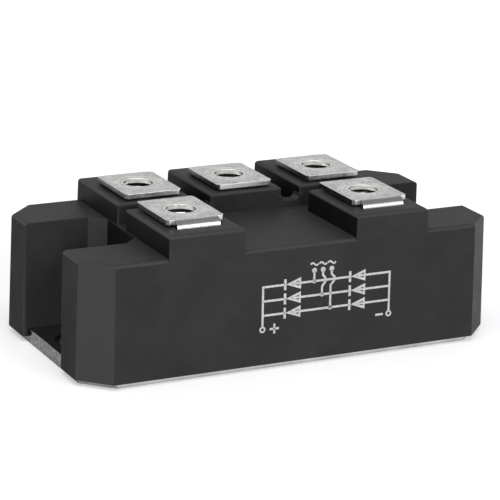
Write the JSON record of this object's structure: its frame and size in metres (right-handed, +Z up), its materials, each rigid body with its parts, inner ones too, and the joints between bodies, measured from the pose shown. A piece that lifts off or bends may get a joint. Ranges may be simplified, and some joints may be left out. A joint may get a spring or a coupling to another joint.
{
  "type": "bridge rectifier module",
  "caption": "Three-phase bridge rectifier module: black moulded housing on a metal base plate, with folded screw terminals over captive nuts and a fixing slot at either end.",
  "frame": {"origin": "centre of the bounding box on the underside of the base plate", "axes": "+X along the module from the plus end to the minus end, -Y to the printed front, +Z up"},
  "size_m": [0.094, 0.0486, 0.0319],
  "materials": {
    "housing": "satin",
    "base_plate": "satin",
    "terminal": "satin",
    "nut": "satin",
    "copper": "satin",
    "ceramic": "matte",
    "silicon": "gloss",
    "gel": "gloss"
  },
  "bodies": {
    "root": {"housing": "housing", "base_plate": "base_plate", "terminal_plus": "terminal", "terminal_minus": "terminal", "terminal_ac_1": "terminal", "terminal_ac_2": "terminal", "terminal_ac_3": "terminal", "nut_plus": "nut", "nut_minus": "nut", "nut_ac_1": "nut", "nut_ac_2": "nut", "nut_ac_3": "nut", "substrate_copper": "copper", "substrate_ceramic": "ceramic", "track_plus": "copper", "track_minus": "copper", "track_ac_1": "copper", "track_ac_2": "copper", "track_ac_3": "copper", "diode_plus_1": "silicon", "diode_plus_2": "silicon", "diode_plus_3": "silicon", "diode_minus_1": "silicon", "diode_minus_2": "silicon", "diode_minus_3": "silicon", "clip_plus_1": "copper", "clip_plus_2": "copper", "clip_plus_3": "copper", "clip_minus_1": "copper", "clip_minus_2": "copper", "clip_minus_3": "copper", "gel_fill": "gel"}
  },
  "joints": []
}
